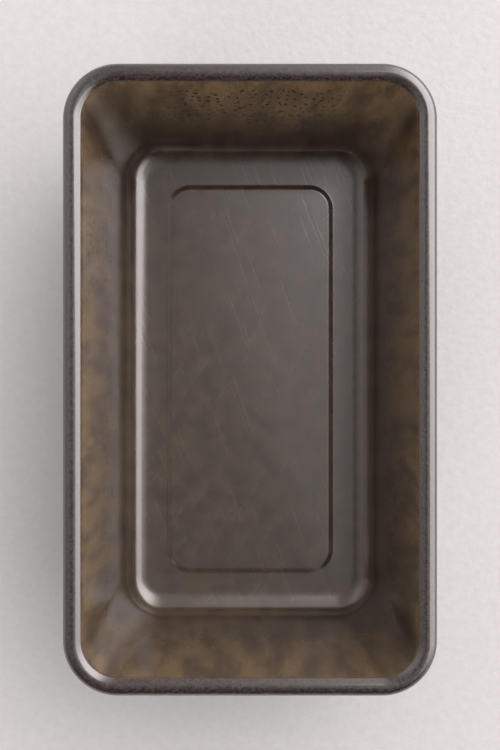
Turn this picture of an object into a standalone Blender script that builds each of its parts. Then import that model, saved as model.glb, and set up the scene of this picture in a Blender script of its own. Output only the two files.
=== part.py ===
"""A loaf pan of drawn sheet steel, with its rim rolled over a steel wire.

The pan has two pieces. pan_body is pressed from one sheet: the floor with its raised panel, four
drafted walls with round corners, and a rim rolled outwards and down into a bead. rim_wire is the
wire that the bead is rolled round. It is bent to a rounded rectangle, and its ends butt together
in the middle of one long side.

The frame has +Z up and +Y along the pan. The origin is the centre of the base, on the plane that
the pan stands on. Every size is in metres.
"""

import math

import bmesh
import bpy

INCH = 0.0254

# The opening is measured between the inner sides of the rim bead.
OPENING_LENGTH = 9.0 * INCH
OPENING_WIDTH = 0.1288
HEIGHT = 0.070
SHEET = 0.0007

# The rim bead is round above, and its lower half is rolled in tighter, round the wire.
BEAD_DIAMETER = 0.0081
OUTER_CORNER_RADIUS = 0.0215
WIRE_DIAMETER = 0.0045
WIRE_CLEARANCE = 0.0004
WIRE_BUTT_GAP = 0.0010
CURL_END = math.radians(-172)

# The walls lean out by the draft, and end at the floor in a bend.
WALL_DRAFT = math.radians(9)
WALL_FOOT_CORNER_RADIUS = 0.017
FLOOR_BEND_RADIUS = 0.010

# A panel pressed up from the floor leaves a flat foot all the way round.
PANEL_RISE = 0.0008
PANEL_STEP_WIDTH = 0.0030
PANEL_CORNER_RADIUS = 0.0110
FOOT_WIDTH = 0.0080

# How finely the round stretches are faceted: each corner, and each quarter turn of the curl.
CORNER_STEPS = 8
CURL_STEPS = 6
FLOOR_BEND_STEPS = 6
PANEL_STEPS = 4
WALL_STEPS = 3
WIRE_BEVEL_RESOLUTION = 4

# The sheet's middle surface is drawn, and half the sheet lies on each side of it.
HALF_SHEET = SHEET / 2
BEAD_RADIUS = BEAD_DIAMETER / 2
OPENING_CORNER_RADIUS = OUTER_CORNER_RADIUS - BEAD_DIAMETER
CURL_RADIUS = BEAD_RADIUS - HALF_SHEET
TIGHT_CURL_RADIUS = WIRE_DIAMETER / 2 + WIRE_CLEARANCE + HALF_SHEET

# Points of the cross-section are (out, z): out runs from the opening's edge, away from the pan.
# The curl starts where it touches the leaning wall.
CURL_CENTRE = (BEAD_RADIUS, HEIGHT - BEAD_RADIUS)
CURL_START = math.pi - WALL_DRAFT
WIRE_CENTRE = (CURL_CENTRE[0] + CURL_RADIUS - TIGHT_CURL_RADIUS, CURL_CENTRE[1])


def clear_scene():
    for old in list(bpy.data.objects):
        bpy.data.objects.remove(old)


def make_material(name, colour, metallic, roughness):
    material = bpy.data.materials.new(name)
    material.use_nodes = True
    shader = material.node_tree.nodes["Principled BSDF"]
    shader.inputs["Base Color"].default_value = (*colour, 1.0)
    shader.inputs["Metallic"].default_value = metallic
    shader.inputs["Roughness"].default_value = roughness
    return material


def arc(centre, radius, start, end, steps):
    """Points from the angle start to the angle end, measured from the outward direction."""
    angles = [start + (end - start) * i / steps for i in range(steps + 1)]
    return [(centre[0] + radius * math.cos(a), centre[1] + radius * math.sin(a)) for a in angles]


def outline(out, corner_radius, z):
    """A rounded rectangle that stands off the opening by out, anticlockwise from the +X side."""
    half_x = OPENING_WIDTH / 2 + out
    half_y = OPENING_LENGTH / 2 + out
    points = []
    for quarter, (sign_x, sign_y) in enumerate([(1, 1), (-1, 1), (-1, -1), (1, -1)]):
        centre_x = sign_x * (half_x - corner_radius)
        centre_y = sign_y * (half_y - corner_radius)
        for step in range(CORNER_STEPS + 1):
            angle = math.pi / 2 * (quarter + step / CORNER_STEPS)
            points.append(
                (
                    centre_x + corner_radius * math.cos(angle),
                    centre_y + corner_radius * math.sin(angle),
                    z,
                )
            )
    return points


def curl_outlines():
    """The rolled rim, from the top of the wall over the bead to the sheet's edge under it."""
    rising = arc(CURL_CENTRE, CURL_RADIUS, CURL_START, math.pi / 2, CURL_STEPS)
    falling = arc(CURL_CENTRE, CURL_RADIUS, math.pi / 2, 0, CURL_STEPS)
    tucked = arc(WIRE_CENTRE, TIGHT_CURL_RADIUS, 0, CURL_END, 2 * CURL_STEPS)
    section = rising + falling[1:] + tucked[1:]
    return [outline(out, OPENING_CORNER_RADIUS + out, z) for out, z in section]


def wall_ends():
    """(out, z) of the wall's foot, where the floor bend starts, and of its top."""
    top = (
        CURL_CENTRE[0] + CURL_RADIUS * math.cos(CURL_START),
        CURL_CENTRE[1] + CURL_RADIUS * math.sin(CURL_START),
    )
    foot_z = HALF_SHEET + FLOOR_BEND_RADIUS * (1 - math.sin(WALL_DRAFT))
    foot = (top[0] - (top[1] - foot_z) * math.tan(WALL_DRAFT), foot_z)
    return foot, top


def wall_outlines():
    """The wall between its foot and its top, without either end."""
    foot, top = wall_ends()
    top_corner_radius = OPENING_CORNER_RADIUS + top[0]
    outlines = []
    for step in range(1, WALL_STEPS):
        share = step / WALL_STEPS
        out = foot[0] + (top[0] - foot[0]) * share
        z = foot[1] + (top[1] - foot[1]) * share
        corner = WALL_FOOT_CORNER_RADIUS + (top_corner_radius - WALL_FOOT_CORNER_RADIUS) * share
        outlines.append(outline(out, corner, z))
    return outlines


def floor_bend():
    """(out, z) round the bend from the flat foot up to the wall's foot."""
    foot, _ = wall_ends()
    centre = (
        foot[0] - FLOOR_BEND_RADIUS * math.cos(WALL_DRAFT),
        foot[1] + FLOOR_BEND_RADIUS * math.sin(WALL_DRAFT),
    )
    return arc(centre, FLOOR_BEND_RADIUS, -math.pi / 2, -WALL_DRAFT, FLOOR_BEND_STEPS)


def floor_bend_outlines():
    bend = floor_bend()
    foot_out = bend[-1][0]
    return [outline(out, WALL_FOOT_CORNER_RADIUS - (foot_out - out), z) for out, z in bend]


def panel_outlines():
    """The edge of the raised panel, from its flat top down to the foot, as half a cosine wave."""
    step_foot_out = floor_bend()[0][0] - FOOT_WIDTH
    outlines = []
    for step in range(PANEL_STEPS + 1):
        share = step / PANEL_STEPS
        inset = PANEL_STEP_WIDTH * (1 - share)
        rise = PANEL_RISE * (1 + math.cos(math.pi * share)) / 2
        outlines.append(outline(step_foot_out - inset, PANEL_CORNER_RADIUS - inset, HALF_SHEET + rise))
    return outlines


def add_ring(mesh, points):
    """A closed loop of edges through the points."""
    corners = [mesh.verts.new(point) for point in points]
    following = corners[1:] + corners[:1]
    return [mesh.edges.new(pair) for pair in zip(corners, following)]


def make_pan_body(material):
    """The sheet's middle surface from the panel out to the rim's edge, given its thickness."""
    outlines = panel_outlines() + floor_bend_outlines() + wall_outlines() + curl_outlines()
    mesh = bmesh.new()
    rings = [add_ring(mesh, points) for points in outlines]
    bmesh.ops.contextual_create(mesh, geom=rings[0])
    for inner, outer in zip(rings, rings[1:]):
        bmesh.ops.bridge_loops(mesh, edges=inner + outer)
    bmesh.ops.recalc_face_normals(mesh, faces=mesh.faces[:])
    data = bpy.data.meshes.new("pan_body")
    mesh.to_mesh(data)
    mesh.free()
    data.shade_smooth()
    body = bpy.data.objects.new("pan_body", data)
    body.data.materials.append(material)
    bpy.context.scene.collection.objects.link(body)
    thickness = body.modifiers.new("sheet_thickness", "SOLIDIFY")
    thickness.thickness = SHEET
    thickness.offset = 0
    thickness.use_even_offset = True
    thickness.use_quality_normals = True
    return body


def make_rim_wire(material):
    """The wire in the rim, from one side of the butt joint round to the other."""
    out, z = WIRE_CENTRE
    side_x = OPENING_WIDTH / 2 + out
    start = (side_x, WIRE_BUTT_GAP / 2, z)
    end = (side_x, -WIRE_BUTT_GAP / 2, z)
    route = [start] + outline(out, OPENING_CORNER_RADIUS + out, z) + [end]
    data = bpy.data.curves.new("rim_wire", "CURVE")
    data.dimensions = "3D"
    data.bevel_depth = WIRE_DIAMETER / 2
    data.bevel_resolution = WIRE_BEVEL_RESOLUTION
    data.use_fill_caps = True
    data.materials.append(material)
    spline = data.splines.new("POLY")
    spline.points.add(len(route) - 1)
    for point, place in zip(spline.points, route):
        point.co = (*place, 1.0)
    wire = bpy.data.objects.new("rim_wire", data)
    bpy.context.scene.collection.objects.link(wire)
    return wire


def main():
    clear_scene()
    make_pan_body(make_material("nonstick_coating", (0.085, 0.075, 0.068), 0.35, 0.38))
    make_rim_wire(make_material("galvanised_wire", (0.56, 0.57, 0.58), 1.0, 0.45))


main()
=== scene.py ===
"""The looks of the loaf pan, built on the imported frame.

The sheet is drawn again at a fine pitch from the frame's own box and a few driving dimensions. It is
one closed skin: up from the floor, over the rim's bead, round the sheet's cut edge under it, and back
down the outside. The wire in the rim is drawn again in the same way.

+Z is up and +Y runs along the pan. Sizes are in metres.
"""

import math
from collections import namedtuple

import bpy
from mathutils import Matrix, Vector, noise


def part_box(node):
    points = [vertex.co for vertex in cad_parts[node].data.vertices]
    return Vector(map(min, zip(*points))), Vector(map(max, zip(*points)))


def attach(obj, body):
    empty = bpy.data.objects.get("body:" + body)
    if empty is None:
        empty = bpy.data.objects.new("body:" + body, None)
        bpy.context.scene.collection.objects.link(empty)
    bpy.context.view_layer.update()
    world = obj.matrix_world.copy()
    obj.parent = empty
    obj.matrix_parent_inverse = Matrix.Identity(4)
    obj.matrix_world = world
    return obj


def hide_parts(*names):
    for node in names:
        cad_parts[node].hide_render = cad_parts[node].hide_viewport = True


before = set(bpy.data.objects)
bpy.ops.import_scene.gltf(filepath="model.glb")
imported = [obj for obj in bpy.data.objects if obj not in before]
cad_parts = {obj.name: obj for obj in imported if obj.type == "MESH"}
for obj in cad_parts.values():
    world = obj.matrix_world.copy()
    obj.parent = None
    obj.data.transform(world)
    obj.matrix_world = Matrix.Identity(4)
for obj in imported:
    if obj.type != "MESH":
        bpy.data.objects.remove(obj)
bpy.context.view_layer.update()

# ---------------------------------------------------------------------------------------------
# Driving dimensions

_, PAN_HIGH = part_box("pan_body")
HEIGHT = PAN_HIGH.z
OUTER_HALF_X = PAN_HIGH.x
OUTER_HALF_Y = PAN_HIGH.y

SHEET = 0.0007
BEAD_DIAMETER = 0.0081
OUTER_CORNER_RADIUS = 0.0215
WIRE_DIAMETER = 0.0045
WIRE_CLEARANCE = 0.0004
WIRE_BUTT_GAP = 0.0010
WALL_DRAFT = math.radians(9)
WALL_FOOT_CORNER_RADIUS = 0.017
FLOOR_BEND_RADIUS = 0.010
PANEL_RISE = 0.0008
PANEL_STEP_WIDTH = 0.0030
PANEL_CORNER_RADIUS = 0.0110
FOOT_WIDTH = 0.0080

HALF_SHEET = SHEET / 2
BEAD_RADIUS = BEAD_DIAMETER / 2
OPENING_CORNER_RADIUS = OUTER_CORNER_RADIUS - BEAD_DIAMETER
CURL_RADIUS = BEAD_RADIUS - HALF_SHEET
TIGHT_CURL_RADIUS = WIRE_DIAMETER / 2 + WIRE_CLEARANCE + HALF_SHEET
CURL_CENTRE = (BEAD_RADIUS, HEIGHT - BEAD_RADIUS)
CURL_START = math.pi - WALL_DRAFT
CURL_END = math.radians(-172)
WIRE_CENTRE = (CURL_CENTRE[0] + CURL_RADIUS - TIGHT_CURL_RADIUS, CURL_CENTRE[1])

# The pressed walls bow in a little between their stiff corners, with a faint wave. Both keep to a
# band that starts and ends at these shares of the height.
WALL_BOW = 0.00035
WAVE_HEIGHT = 0.00012
WAVE_PITCH = 0.045
BOW_START = 0.12
BOW_END = 0.92

# Inside, the coating is brown: partly baked-on colour and partly painted warm bounce light. It is
# laid on at this share at the floor, thinner there as painted shade, and fully at the rim. On the
# bead it fades out between two angles, measured from the outward direction.
FLOOR_BROWN_AND_PAINTED_SHADE = 0.40
BEAD_BROWN_AND_PAINTED_LIGHT_GONE = math.radians(133)
BEAD_BROWN_AND_PAINTED_LIGHT_FULL = math.radians(160)

# A painted dark reflection high on the long walls near the corners is darkest at one depth below the
# rim. It thins out over a height up and down, and over a length along the pan. Sideways it starts at
# the inner distance from the pan's middle, and is at its full strength from the outer one.
PAINTED_REFLECTION_STRENGTH = 0.75
PAINTED_REFLECTION_DEPTH = 0.014
PAINTED_REFLECTION_HEIGHT = 0.009
PAINTED_REFLECTION_LENGTH = 0.006
PAINTED_REFLECTION_INNER_X = 0.045
PAINTED_REFLECTION_OUTER_X = 0.055

# How finely it is drawn.
CORNER_STEPS = 28
SIDE_STEPS = 24
CURL_STEPS = 22
FLOOR_BEND_STEPS = 16
PANEL_STEPS = 10
WALL_STEPS = 18
CUT_EDGE_STEPS = 6
WIRE_STEPS = 24


# ---------------------------------------------------------------------------------------------
# The pan's shape

# A station is one place along the sheet's section. out runs from the opening's edge, away from the
# pan. facing is the direction that the sheet's upper face looks in, measured from outwards. corner is
# the radius of the outline's corners there. The last field is how far the inside's brown is laid on:
# partly baked-on colour and partly painted warm bounce light, thinner low down as painted shade.
Station = namedtuple("Station", "out z facing corner used")


def blend(share, first, last):
    return first + (last - first) * share


def smooth_step(value, low, high):
    share = min(max((value - low) / (high - low), 0.0), 1.0)
    return share * share * (3 - 2 * share)


def steps(count):
    """Shares from 0 to 1 in so many steps."""
    return [step / count for step in range(count + 1)]


def browning_and_painted_light(z):
    """The inside's brown at a height: part baked-on, part painted bounce light, thinned below as
    painted shade.
    """
    return blend(smooth_step(z, 0.0, HEIGHT), FLOOR_BROWN_AND_PAINTED_SHADE, 1.0)


def wall_ends():
    """(out, z) of the wall's foot and of its top."""
    top = (
        CURL_CENTRE[0] + CURL_RADIUS * math.cos(CURL_START),
        CURL_CENTRE[1] + CURL_RADIUS * math.sin(CURL_START),
    )
    foot_z = HALF_SHEET + FLOOR_BEND_RADIUS * (1 - math.sin(WALL_DRAFT))
    return (top[0] - (top[1] - foot_z) * math.tan(WALL_DRAFT), foot_z), top


def bend_centre():
    foot, _ = wall_ends()
    return (
        foot[0] - FLOOR_BEND_RADIUS * math.cos(WALL_DRAFT),
        foot[1] + FLOOR_BEND_RADIUS * math.sin(WALL_DRAFT),
    )


def panel_stations():
    """The raised panel's edge, from its flat top down to the foot."""
    lip_out = bend_centre()[0] - FOOT_WIDTH
    stations = []
    for share in steps(PANEL_STEPS):
        inset = PANEL_STEP_WIDTH * (1 - share)
        rise = PANEL_RISE * (1 + math.cos(math.pi * share)) / 2
        slope = PANEL_RISE * math.pi / 2 * math.sin(math.pi * share) / PANEL_STEP_WIDTH
        facing = math.pi / 2 - math.atan(slope)
        corner = PANEL_CORNER_RADIUS - inset
        z = HALF_SHEET + rise
        stations.append(Station(lip_out - inset, z, facing, corner, browning_and_painted_light(z)))
    return stations


def bend_stations():
    """The bend from the flat foot up to the wall."""
    centre = bend_centre()
    foot, _ = wall_ends()
    stations = []
    for share in steps(FLOOR_BEND_STEPS):
        angle = blend(share, -math.pi / 2, -WALL_DRAFT)
        out = centre[0] + FLOOR_BEND_RADIUS * math.cos(angle)
        z = centre[1] + FLOOR_BEND_RADIUS * math.sin(angle)
        corner = WALL_FOOT_CORNER_RADIUS - (foot[0] - out)
        stations.append(Station(out, z, angle + math.pi, corner, browning_and_painted_light(z)))
    return stations


def wall_stations():
    """The wall between its foot and its top, without either end."""
    foot, top = wall_ends()
    top_corner = OPENING_CORNER_RADIUS + top[0]
    stations = []
    for share in steps(WALL_STEPS)[1:-1]:
        out = blend(share, foot[0], top[0])
        z = blend(share, foot[1], top[1])
        corner = blend(share, WALL_FOOT_CORNER_RADIUS, top_corner)
        stations.append(Station(out, z, math.pi - WALL_DRAFT, corner, browning_and_painted_light(z)))
    return stations


def curl_stations():
    """The rim: round above, and rolled in tighter below, where it goes round the wire."""
    arcs = [
        (CURL_CENTRE, CURL_RADIUS, CURL_START, 0, 2 * CURL_STEPS),
        (WIRE_CENTRE, TIGHT_CURL_RADIUS, 0, CURL_END, 2 * CURL_STEPS),
    ]
    stations = []
    for centre, radius, start, end, count in arcs:
        for share in steps(count)[1 if stations else 0:]:
            angle = blend(share, start, end)
            out = centre[0] + radius * math.cos(angle)
            z = centre[1] + radius * math.sin(angle)
            # Over the bead's inner side the inside's brown and painted bounce light fade out.
            used = smooth_step(angle, BEAD_BROWN_AND_PAINTED_LIGHT_GONE, BEAD_BROWN_AND_PAINTED_LIGHT_FULL)
            stations.append(Station(out, z, angle, OPENING_CORNER_RADIUS + out, used))
    return stations


def face(station, side):
    """The station on one face of the sheet: side is 1 for the upper face and -1 for the lower."""
    reach = side * HALF_SHEET * math.cos(station.facing)
    rise = side * HALF_SHEET * math.sin(station.facing)
    used = station.used if side > 0 else 0.0
    return station._replace(
        out=station.out + reach, z=station.z + rise, corner=station.corner + reach, used=used
    )


def cut_edge(last):
    """The sheet's rounded edge, which turns from the upper face to the lower face."""
    stations = []
    for share in steps(CUT_EDGE_STEPS)[1:-1]:
        angle = last.facing - math.pi * share
        reach = HALF_SHEET * math.cos(angle)
        rise = HALF_SHEET * math.sin(angle)
        stations.append(
            last._replace(
                out=last.out + reach, z=last.z + rise, corner=last.corner + reach, used=0.0
            )
        )
    return stations


def skin_stations():
    """The whole closed section, from the floor's upper face round to its lower face."""
    middle = panel_stations() + bend_stations() + wall_stations() + curl_stations()
    upper = [face(station, 1) for station in middle]
    lower = [face(station, -1) for station in reversed(middle)]
    return upper + cut_edge(middle[-1]) + lower


def outline(station):
    """Points round the pan at a station, each with its outward direction, anticlockwise."""
    half_x = OUTER_HALF_X - BEAD_DIAMETER + station.out
    half_y = OUTER_HALF_Y - BEAD_DIAMETER + station.out
    signs = [(1, 1), (-1, 1), (-1, -1), (1, -1)]
    centres = [
        Vector((sign_x * (half_x - station.corner), sign_y * (half_y - station.corner)))
        for sign_x, sign_y in signs
    ]
    points = []
    for quarter, centre in enumerate(centres):
        for share in steps(CORNER_STEPS):
            angle = math.pi / 2 * (quarter + share)
            outward = Vector((math.cos(angle), math.sin(angle)))
            points.append((centre + outward * station.corner, outward))
        next_start = centres[(quarter + 1) % 4] + outward * station.corner
        run_start = points[-1][0]
        for share in steps(SIDE_STEPS)[1:-1]:
            points.append((run_start.lerp(next_start, share), outward))
    return points


def sheet_ease(point, z):
    """How far a pressed sheet stands off its drawing there: nothing at the floor and the rim."""
    height = z / HEIGHT
    up_the_band = min(max((height - BOW_START) / (BOW_END - BOW_START), 0.0), 1.0)
    belly = math.sin(math.pi * up_the_band) ** 2
    along_x = math.cos(math.pi / 2 * min(abs(point.x) / OUTER_HALF_X, 1.0))
    along_y = math.cos(math.pi / 2 * min(abs(point.y) / OUTER_HALF_Y, 1.0))
    flatness = max(along_x, along_y) ** 2
    wave = noise.noise(Vector((point.x, point.y, z)) / WAVE_PITCH)
    return belly * (-WALL_BOW * flatness + WAVE_HEIGHT * wave)


def mesh_object(name, vertices, faces, material):
    mesh = bpy.data.meshes.new(name)
    mesh.from_pydata(vertices, [], faces)
    mesh.shade_smooth()
    mesh.materials.append(material)
    made = bpy.data.objects.new(name, mesh)
    bpy.context.scene.collection.objects.link(made)
    return made


def skin_faces(ring_count, ring_size):
    """Faces of a closed skin: a cap on the first ring, a strip after each ring, a cap on the last."""
    last = (ring_count - 1) * ring_size
    faces = [tuple(range(ring_size)), tuple(reversed(range(last, last + ring_size)))]
    for ring in range(ring_count - 1):
        here = ring * ring_size
        there = here + ring_size
        for i in range(ring_size):
            following = (i + 1) % ring_size
            faces.append((here + i, there + i, there + following, here + following))
    return faces


def painted_corner_reflection(point, z):
    """A painted dark reflection high on the long walls, close to where each runs into its corners."""
    past_corner = (OUTER_HALF_Y - OUTER_CORNER_RADIUS - abs(point.y)) / PAINTED_REFLECTION_LENGTH
    below_rim = (HEIGHT - PAINTED_REFLECTION_DEPTH - z) / PAINTED_REFLECTION_HEIGHT
    beside = smooth_step(abs(point.x), PAINTED_REFLECTION_INNER_X, PAINTED_REFLECTION_OUTER_X)
    return PAINTED_REFLECTION_STRENGTH * beside * math.exp(-(past_corner**2) - below_rim**2)


def make_pan(material):
    stations = skin_stations()
    vertices = []
    brown_and_painted_light_values = []
    painted_corner_reflection_values = []
    for station in stations:
        for point, outward in outline(station):
            eased = point + outward * sheet_ease(point, station.z)
            vertices.append((eased.x, eased.y, station.z))
            brown_and_painted_light_values.append(station.used)
            painted_corner_reflection_values.append(painted_corner_reflection(point, station.z) * station.used)
    faces = skin_faces(len(stations), len(vertices) // len(stations))
    pan = mesh_object("pan_shell", vertices, faces, material)
    # The inside's brown-and-painted-light share and the painted dark reflection by the corners go on
    # as attributes.
    for name, values in [("browning_and_painted_light", brown_and_painted_light_values), ("painted_corner_reflection_share", painted_corner_reflection_values)]:
        attribute = pan.data.attributes.new(name, "FLOAT", "POINT")
        attribute.data.foreach_set("value", values)
    return pan


def make_wire(material):
    """The round wire in the bead, from one side of the butt joint round to the other."""
    out, z = WIRE_CENTRE
    wire_radius = WIRE_DIAMETER / 2
    loop = outline(Station(out, z, 0.0, OPENING_CORNER_RADIUS + out, 0.0))
    side_x = OUTER_HALF_X - BEAD_DIAMETER + out
    start = (Vector((side_x, WIRE_BUTT_GAP / 2)), Vector((1, 0)))
    end = (Vector((side_x, -WIRE_BUTT_GAP / 2)), Vector((1, 0)))
    run_over_the_gap = SIDE_STEPS - 1
    route = [start] + loop[:-run_over_the_gap] + [end]
    vertices = []
    for point, outward in route:
        for share in steps(WIRE_STEPS)[:-1]:
            angle = 2 * math.pi * share
            place = point + outward * (wire_radius * math.cos(angle))
            vertices.append((place.x, place.y, z + wire_radius * math.sin(angle)))
    return mesh_object("wire_loop", vertices, skin_faces(len(route), WIRE_STEPS), material)


# ---------------------------------------------------------------------------------------------
# Materials

# Colours, as red, green, blue and alpha.
COAT_DARK_GRAIN = (0.012, 0.0095, 0.0085, 1.0)
COAT_LIGHT_GRAIN = (0.036, 0.028, 0.0245, 1.0)
BAKED_OIL = (0.085, 0.050, 0.028, 1.0)
RUBBED = (0.160, 0.148, 0.138, 1.0)
# The inside's brown: partly baked-on colour and partly painted warm bounce light.
BROWN_AND_PAINTED_BOUNCE_PALE = (0.124, 0.082, 0.042, 1.0)
BROWN_AND_PAINTED_BOUNCE_DEEP = (0.060, 0.040, 0.024, 1.0)
BROWNED_GRAIN = (0.026, 0.018, 0.012, 1.0)
# A painted dark reflection, high on the long walls by the corners.
PAINTED_CORNER_REFLECTION = (0.020, 0.014, 0.010, 1.0)
DRIED_DROPLET = (0.008, 0.005, 0.004, 1.0)
SCRATCHED = (0.150, 0.125, 0.100, 1.0)

ZINC_DARK = (0.42, 0.43, 0.44, 1.0)
ZINC_LIGHT = (0.62, 0.63, 0.64, 1.0)
FLOOR_LIGHT = (0.430, 0.430, 0.430, 1.0)
FLOOR_DARK = (0.405, 0.405, 0.405, 1.0)

# How large the features are, in metres.
GRAIN_SIZE = 0.0008
MOTTLE_SIZE = 0.008
SHEEN_SIZE = 0.012
OIL_PATCH_SIZE = 0.018
RUB_SIZE = 0.0022
DROPLET_PITCH = 0.0038
DROPLET_RADIUS = 0.0010
SCRATCH_WIDTH = 0.0012
SCRATCH_LENGTH = 0.036
COAT_BUMP_DEPTH = 0.00005
ZINC_GRAIN_SIZE = 0.0014
ZINC_BUMP_SIZE = 0.0008
ZINC_BUMP_DEPTH = 0.00004
PLASTER_CLOUD_SIZE = 0.004
PLASTER_BUMP_SIZE = 0.003
PLASTER_BUMP_DEPTH = 0.0003

# The mottled browning runs down the walls: each patch is so many times as tall as it is wide.
MOTTLE_RUN = 3.0

# The two directions that the scratches run in, in radians from along the pan.
SCRATCH_TURNS = (0.35, -0.6)

# The part of each noise's range, from 0 to 1, that its pattern runs over.
GRAIN_RANGE = (0.36, 0.64)
OIL_RANGE = (0.42, 0.70)
RUB_RANGE = (0.46, 0.64)
MOTTLE_RANGE = (0.36, 0.68)
SCRATCH_RANGE = (0.64, 0.70)
SHEEN_RANGE = (0.3, 0.7)
CLOUD_RANGE = (0.3, 0.7)

# Each pair is the two heights between which a kind of wear ends. OIL_GROWTH goes on with the shares
# that the oil covers at its two heights. The bead starts at BEAD_FOOT, and the droplets end there.
OIL_GROWTH = (0.010, 0.056, 0.25, 0.65)
OIL_TOP = (0.056, 0.062)
RUB_TOP = (0.0002, 0.0040)
SCRATCH_TOP = (0.0015, 0.0040)
BEAD_FOOT = (0.0605, 0.0625)

# Where the droplets begin or end: on the +Y end wall, and on the -X side wall.
END_DROPLETS_ALONG = (0.101, 0.104)
END_DROPLETS_ACROSS = (0.024, 0.046)
END_DROPLETS_UP = (0.012, 0.030)
SIDE_DROPLETS_ACROSS = (-0.058, -0.054)
SIDE_DROPLETS_START = (0.030, 0.040)
SIDE_DROPLETS_END = (0.062, 0.070)

# A droplet is solid out to this share of its radius. Some are smaller, by up to this many pitches.
DROPLET_SOLID = 0.70
DROPLET_SHRINK = 0.12

# The outside's own wear fades away over this much of the inside's brown and painted light, so that
# none of it shows inside.
OUTSIDE_BROWN_AND_PAINTED_LIGHT = (0.0, 0.2)

# How far each mark covers the colour under it, from 0 to 1.
RUB_COVER = 0.8
GRAIN_COVER = 0.38
DROPLET_COVER = 0.95
SCRATCH_COVER = 0.6

# The clean coating's roughness, and how much each kind of wear adds to it.
CLEAN_ROUGHNESS = (0.09, 0.15)
USED_ROUGHNESS = 0.22
RUB_ROUGHNESS = 0.25
OIL_ROUGHNESS = 0.20
COAT_IOR = 2.0
ZINC_ROUGHNESS = (0.38, 0.55)
PLASTER_ROUGHNESS = 0.4

# How far the grain stands up and the scratches go in, as shares of the coating's bump depth.
GRAIN_RELIEF = 0.2
SCRATCH_RELIEF = 0.4
ZINC_BUMP_STRENGTH = 0.3
PLASTER_BUMP_STRENGTH = 0.4


class Nodes:
    """Builds one node tree. An input is set to a number, a colour or another node's output."""

    def __init__(self, tree):
        self.tree = tree

    def add(self, kind, inputs=None, **settings):
        made = self.tree.nodes.new(kind)
        for name, value in settings.items():
            setattr(made, name, value)
        for name, value in (inputs or {}).items():
            self.set(made.inputs[name], value)
        return made

    def set(self, socket, value):
        if isinstance(value, bpy.types.NodeSocket):
            self.tree.links.new(value, socket)
        else:
            socket.default_value = value

    def math(self, operation, first, second=0.0):
        return self.add("ShaderNodeMath", {0: first, 1: second}, operation=operation).outputs[0]

    def product(self, *factors):
        result = factors[0]
        for factor in factors[1:]:
            result = self.math("MULTIPLY", result, factor)
        return result

    def total(self, *terms):
        result = terms[0]
        for term in terms[1:]:
            result = self.math("ADD", result, term)
        return result

    def noise(self, coords, size, detail=2.0, roughness=0.5):
        """A noise whose features are about size metres across, from 0 to 1."""
        return self.add(
            "ShaderNodeTexNoise",
            {"Vector": coords, "Scale": 1 / size, "Detail": detail, "Roughness": roughness},
        ).outputs["Fac"]

    def span(self, value, low, high, to_low=0.0, to_high=1.0):
        """The value's range from low to high, eased onto the range from to_low to to_high."""
        return self.add(
            "ShaderNodeMapRange",
            {"Value": value, "From Min": low, "From Max": high, "To Min": to_low, "To Max": to_high},
            interpolation_type="SMOOTHSTEP",
        ).outputs["Result"]

    def fade(self, value, low, high):
        """1 up to low, eased down to 0 at high."""
        return self.span(value, low, high, 1.0, 0.0)

    def mix(self, share, first, second):
        """A blend of two colours. The node's colour sockets have no names of their own."""
        made = self.add("ShaderNodeMix", {"Factor": share}, data_type="RGBA")
        self.set(made.inputs[6], first)
        self.set(made.inputs[7], second)
        return made.outputs[2]

    def bump(self, height, depth, strength=1.0):
        """Normals for a height from 0 to 1 over a depth in metres."""
        return self.add(
            "ShaderNodeBump", {"Strength": strength, "Distance": depth, "Height": height}
        ).outputs["Normal"]


def new_material(name):
    material = bpy.data.materials.new(name)
    material.use_nodes = True
    nodes = Nodes(material.node_tree)
    shader = material.node_tree.nodes["Principled BSDF"]
    coords = nodes.add("ShaderNodeTexCoord").outputs["Object"]
    return material, nodes, shader, coords


def droplet_marks(nodes, across, along, up):
    """Where dried droplets lie, from 0 to 1: round spots on one end wall and on one side wall."""
    on_wall = nodes.add("ShaderNodeCombineXYZ", {"X": nodes.total(across, along), "Y": up}).outputs[0]
    spots = nodes.add(
        "ShaderNodeTexVoronoi",
        {"Vector": on_wall, "Scale": 1 / DROPLET_PITCH},
        feature="F1",
        voronoi_dimensions="2D",
    )
    smaller = nodes.add("ShaderNodeSeparateColor", {"Color": spots.outputs["Color"]}).outputs[0]
    distance = nodes.total(spots.outputs["Distance"], nodes.product(DROPLET_SHRINK, smaller))
    reach = DROPLET_RADIUS / DROPLET_PITCH
    spot = nodes.fade(distance, DROPLET_SOLID * reach, reach)
    end_wall = nodes.product(
        nodes.span(along, *END_DROPLETS_ALONG),
        nodes.fade(nodes.math("ABSOLUTE", across), *END_DROPLETS_ACROSS),
        nodes.span(up, *END_DROPLETS_UP),
    )
    side_wall = nodes.product(
        nodes.fade(across, *SIDE_DROPLETS_ACROSS),
        nodes.span(along, *SIDE_DROPLETS_START),
        nodes.fade(along, *SIDE_DROPLETS_END),
    )
    below_bead = nodes.fade(up, *BEAD_FOOT)
    return nodes.product(spot, below_bead, nodes.total(end_wall, side_wall))


def scratches(nodes, coords, turn):
    """Thin straight scratches, from 0 to 1, all turned so many radians from along the pan."""
    stretch = SCRATCH_LENGTH / SCRATCH_WIDTH
    turned = nodes.add(
        "ShaderNodeMapping",
        {"Vector": coords, "Rotation": (0.0, 0.0, turn), "Scale": (1.0, stretch, 1.0)},
        vector_type="TEXTURE",
    ).outputs["Vector"]
    return nodes.span(nodes.noise(turned, SCRATCH_WIDTH, detail=1.0), *SCRATCH_RANGE)


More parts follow.
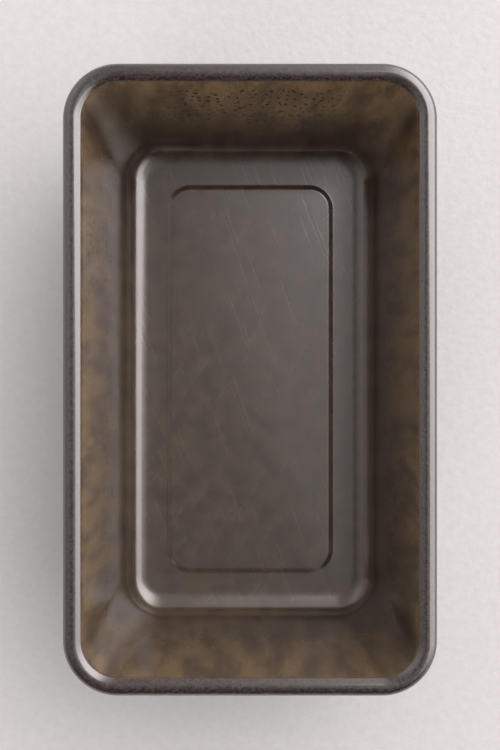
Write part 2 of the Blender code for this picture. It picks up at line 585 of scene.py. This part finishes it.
def coating_material():
    """Dark non-stick coating: finely speckled, brown inside with painted bounce light and shade, and
    worn where it rubs.
    """
    material, nodes, shader, coords = new_material("nonstick_coating_fine")
    # The inside's brown share, partly painted bounce light and shade, and the painted dark reflection
    # by the corners.
    used = nodes.add("ShaderNodeAttribute", attribute_name="browning_and_painted_light").outputs["Fac"]
    painted_corner_reflection_share = nodes.add("ShaderNodeAttribute", attribute_name="painted_corner_reflection_share").outputs["Fac"]
    across, along, up = nodes.add("ShaderNodeSeparateXYZ", {0: coords}).outputs
    outside = nodes.fade(used, *OUTSIDE_BROWN_AND_PAINTED_LIGHT)
    grain = nodes.noise(coords, GRAIN_SIZE, detail=1.0)
    speckle = nodes.span(grain, *GRAIN_RANGE)

    # Outside, oil is baked on in patches below the rim, and the foot is rubbed pale by oven racks.
    oil = nodes.product(
        outside,
        nodes.span(nodes.noise(coords, OIL_PATCH_SIZE, detail=5.0, roughness=0.62), *OIL_RANGE),
        nodes.span(up, *OIL_GROWTH),
        nodes.fade(up, *OIL_TOP),
    )
    rub = nodes.product(
        outside,
        nodes.fade(up, *RUB_TOP),
        nodes.span(nodes.noise(coords, RUB_SIZE, detail=4.0, roughness=0.65), *RUB_RANGE),
    )
    clean = nodes.mix(speckle, COAT_DARK_GRAIN, COAT_LIGHT_GRAIN)
    clean = nodes.mix(oil, clean, BAKED_OIL)
    clean = nodes.mix(nodes.product(RUB_COVER, rub), clean, RUBBED)

    # Inside it is brown, partly baked-on colour and partly painted bounce light and shade, with
    # painted dark reflections by the corners, dried droplets, and a scratched floor.
    droplets = nodes.product(used, droplet_marks(nodes, across, along, up))
    scored = nodes.product(
        used,
        nodes.math("MAXIMUM", *[scratches(nodes, coords, turn) for turn in SCRATCH_TURNS]),
        nodes.fade(up, *SCRATCH_TOP),
    )
    run_down = nodes.add(
        "ShaderNodeMapping", {"Vector": coords, "Scale": (1.0, 1.0, 1 / MOTTLE_RUN)}
    ).outputs["Vector"]
    mottle = nodes.noise(run_down, MOTTLE_SIZE, detail=3.0, roughness=0.55)
    inside = nodes.mix(nodes.span(mottle, *MOTTLE_RANGE), BROWN_AND_PAINTED_BOUNCE_PALE, BROWN_AND_PAINTED_BOUNCE_DEEP)
    inside = nodes.mix(nodes.product(GRAIN_COVER, speckle), inside, BROWNED_GRAIN)
    # A painted dark reflection high on the long walls by the corners.
    inside = nodes.mix(painted_corner_reflection_share, inside, PAINTED_CORNER_REFLECTION)
    inside = nodes.mix(nodes.product(DROPLET_COVER, droplets), inside, DRIED_DROPLET)
    inside = nodes.mix(nodes.product(SCRATCH_COVER, scored), inside, SCRATCHED)
    # The inside's brown, partly painted bounce light and shade, takes over from the clean coating.
    nodes.set(shader.inputs["Base Color"], nodes.mix(used, clean, inside))

    sheen = nodes.noise(coords, SHEEN_SIZE, detail=4.0, roughness=0.6)
    duller = nodes.total(
        nodes.product(USED_ROUGHNESS, used),
        nodes.product(RUB_ROUGHNESS, rub),
        nodes.product(OIL_ROUGHNESS, oil),
    )
    roughness = nodes.total(nodes.span(sheen, *SHEEN_RANGE, *CLEAN_ROUGHNESS), duller)
    nodes.set(shader.inputs["Roughness"], roughness)
    shader.inputs["IOR"].default_value = COAT_IOR
    height = nodes.total(nodes.product(GRAIN_RELIEF, grain), nodes.product(-SCRATCH_RELIEF, scored))
    nodes.set(shader.inputs["Normal"], nodes.bump(height, COAT_BUMP_DEPTH))
    return material


def wire_material():
    """Dull galvanised steel: zinc grains that differ in tone and shine."""
    material, nodes, shader, coords = new_material("galvanised_wire_fine")
    grains = nodes.add(
        "ShaderNodeTexVoronoi", {"Vector": coords, "Scale": 1 / ZINC_GRAIN_SIZE}, feature="F1"
    ).outputs["Color"]
    tone = nodes.add("ShaderNodeSeparateColor", {"Color": grains}).outputs[0]
    nodes.set(shader.inputs["Base Color"], nodes.mix(tone, ZINC_DARK, ZINC_LIGHT))
    nodes.set(shader.inputs["Roughness"], nodes.span(tone, 0.0, 1.0, *ZINC_ROUGHNESS))
    shader.inputs["Metallic"].default_value = 1.0
    pits = nodes.noise(coords, ZINC_BUMP_SIZE, detail=3.0)
    nodes.set(shader.inputs["Normal"], nodes.bump(pits, ZINC_BUMP_DEPTH, ZINC_BUMP_STRENGTH))
    return material


def floor_material():
    """Pale plaster with a faint grain."""
    material, nodes, shader, coords = new_material("pale_floor")
    cloud = nodes.span(
        nodes.noise(coords, PLASTER_CLOUD_SIZE, detail=5.0, roughness=0.6), *CLOUD_RANGE
    )
    nodes.set(shader.inputs["Base Color"], nodes.mix(cloud, FLOOR_LIGHT, FLOOR_DARK))
    shader.inputs["Roughness"].default_value = PLASTER_ROUGHNESS
    grit = nodes.noise(coords, PLASTER_BUMP_SIZE, detail=4.0, roughness=0.6)
    nodes.set(shader.inputs["Normal"], nodes.bump(grit, PLASTER_BUMP_DEPTH, PLASTER_BUMP_STRENGTH))
    return material


# ---------------------------------------------------------------------------------------------
# The studio

LIGHT_TINT = (1.0, 0.94, 0.945)
BACKDROP = (0.74, 0.70, 0.70, 1.0)

# A window fills a part of the sky on the +X side. Its upper edge lies so many degrees from straight
# up, and comes overhead towards the north. Its northern side is at a bearing from +X towards +Y.
# The lower edge and the northern side are blurred by so many degrees each way. The upper edge is
# blurred from the first number of degrees below it to the second.
WINDOW_RADIANCE = 3.1
WINDOW_TOP_SOUTH = 29
WINDOW_TOP_NORTH = -3
WINDOW_BOTTOM = 92
WINDOW_LAST_BEARING = 65
WINDOW_BOTTOM_BLUR = 5
WINDOW_BEARING_BLUR = 15
WINDOW_TOP_BLUR = (-5.0, 7.0)

# How a direction's northward part, from -1 to 1, moves the window's upper edge and dims the window.
WINDOW_TOP_TURN = (-0.05, 0.45)
WINDOW_SOUTH_END = (-0.80, -0.25)
WINDOW_FADE = (-0.40, 0.35, 0.65, 1.05)

# The room's radiance changes from its third value to its fourth as a direction's eastward or
# northward part goes from its first to its second.
ROOM_FROM_EAST = (-0.15, 0.38, 0.40, 1.60)
ROOM_FROM_WEST = (-0.70, -0.20, 0.45, 0.0)
ROOM_FROM_NORTH = (-0.92, 0.68, 0.03, 1.20)

# Each fill light's name, place, width, height and radiance. Both have the same spread.
FILLS = [
    ("north_fill", (0.0, 0.9, 0.9), 1.2, 1.2, 2.8),
    ("low_fill", (-0.75, -2.80, 0.80), 2.8, 0.9, 16.0),
]
FILL_SPREAD = math.radians(90)

FLOOR_REACH = 12.0
FLOOR_DROP = 0.0002

# The camera's distance is measured from the rim's plane, and its lens and sensor are in millimetres.
CAMERA_DISTANCE = 0.404
CAMERA_NORTHING = 0.0018
CAMERA_LENS = 50.0
CAMERA_SENSOR_WIDTH = 36.0


def make_floor():
    """A plain floor, just under the pan's foot so that the two faces don't fight."""
    corners = [
        (sign_x * FLOOR_REACH, sign_y * FLOOR_REACH, -FLOOR_DROP)
        for sign_x, sign_y in [(-1, -1), (1, -1), (1, 1), (-1, 1)]
    ]
    mesh_object("floor", corners, [(0, 1, 2, 3)], floor_material())


def window_radiance(nodes, east, north, up):
    """The window's light in a direction. It fades towards the south."""
    lean = nodes.math("DEGREES", nodes.math("ARCTAN2", east, up))
    bearing = nodes.math("DEGREES", nodes.math("ARCTAN2", north, east))
    upper_edge = nodes.span(north, *WINDOW_TOP_TURN, WINDOW_TOP_SOUTH, WINDOW_TOP_NORTH)
    return nodes.product(
        nodes.span(
            nodes.math("SUBTRACT", lean, upper_edge), *WINDOW_TOP_BLUR, 0.0, WINDOW_RADIANCE
        ),
        nodes.fade(lean, WINDOW_BOTTOM - WINDOW_BOTTOM_BLUR, WINDOW_BOTTOM + WINDOW_BOTTOM_BLUR),
        nodes.fade(
            bearing,
            WINDOW_LAST_BEARING - WINDOW_BEARING_BLUR,
            WINDOW_LAST_BEARING + WINDOW_BEARING_BLUR,
        ),
        nodes.span(north, *WINDOW_SOUTH_END),
        nodes.span(north, *WINDOW_FADE),
    )


def room_radiance(nodes, east, north):
    """The room's light in a direction: brightest to the north-east, a little to the west."""
    from_east = nodes.span(east, *ROOM_FROM_EAST)
    from_west = nodes.span(east, *ROOM_FROM_WEST)
    from_north = nodes.span(north, *ROOM_FROM_NORTH)
    return nodes.product(from_north, nodes.total(from_east, from_west))


def make_sky():
    """The room and its window all round the pan. The camera itself sees a plain backdrop instead."""
    world = bpy.data.worlds.new("studio")
    world.use_nodes = True
    nodes = Nodes(world.node_tree)
    direction = nodes.add("ShaderNodeTexCoord").outputs["Generated"]
    east, north, up = nodes.add("ShaderNodeSeparateXYZ", {0: direction}).outputs
    radiance = nodes.total(
        room_radiance(nodes, east, north), window_radiance(nodes, east, north, up)
    )
    light = nodes.add("ShaderNodeBackground", {"Color": (*LIGHT_TINT, 1.0), "Strength": radiance})
    backdrop = nodes.add("ShaderNodeBackground", {"Color": BACKDROP, "Strength": 1.0})
    seen = nodes.add("ShaderNodeLightPath").outputs["Is Camera Ray"]
    shown = nodes.add("ShaderNodeMixShader", {0: seen, 1: light.outputs[0], 2: backdrop.outputs[0]})
    nodes.set(world.node_tree.nodes["World Output"].inputs["Surface"], shown.outputs[0])
    bpy.context.scene.world = world


def add_fill(name, place, width, height, radiance):
    """A soft light that shows only on matt surfaces, and adds no reflection. It faces the pan.

    The spread keeps it off the floor close to it. That packs the same power into fewer directions,
    so the power is cut by as much as the light's middle would gain.
    """
    slope = math.tan(FILL_SPREAD / 2)
    gain = slope / (slope - FILL_SPREAD / 2)
    data = bpy.data.lights.new(name, "AREA")
    data.shape = "RECTANGLE"
    data.size = width
    data.size_y = height
    data.energy = radiance * math.pi * width * height / gain
    data.color = LIGHT_TINT
    data.spread = FILL_SPREAD
    light = bpy.data.objects.new(name, data)
    light.location = place
    light.rotation_mode = "QUATERNION"
    light.rotation_quaternion = (Vector((0, 0, HEIGHT)) - light.location).to_track_quat("-Z", "Y")
    light.visible_camera = False
    light.visible_glossy = False
    bpy.context.scene.collection.objects.link(light)


def make_camera():
    """Straight above the pan, with the pan's +Y upwards in the picture."""
    data = bpy.data.cameras.new("camera")
    data.lens = CAMERA_LENS
    data.sensor_width = CAMERA_SENSOR_WIDTH
    camera = bpy.data.objects.new("camera", data)
    rim_plane = HEIGHT - BEAD_RADIUS
    camera.location = (0.0, CAMERA_NORTHING, rim_plane + CAMERA_DISTANCE)
    bpy.context.scene.collection.objects.link(camera)
    bpy.context.scene.camera = camera
    bpy.context.scene.view_settings.view_transform = "Standard"


def stand_in(made, node):
    """Shows a piece in place of its frame node, hung on the root body."""
    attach(made, "root")
    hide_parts(node)


def main():
    make_camera()
    make_sky()
    for fill in FILLS:
        add_fill(*fill)
    make_floor()
    stand_in(make_pan(coating_material()), "pan_body")
    stand_in(make_wire(wire_material()), "rim_wire")


main()
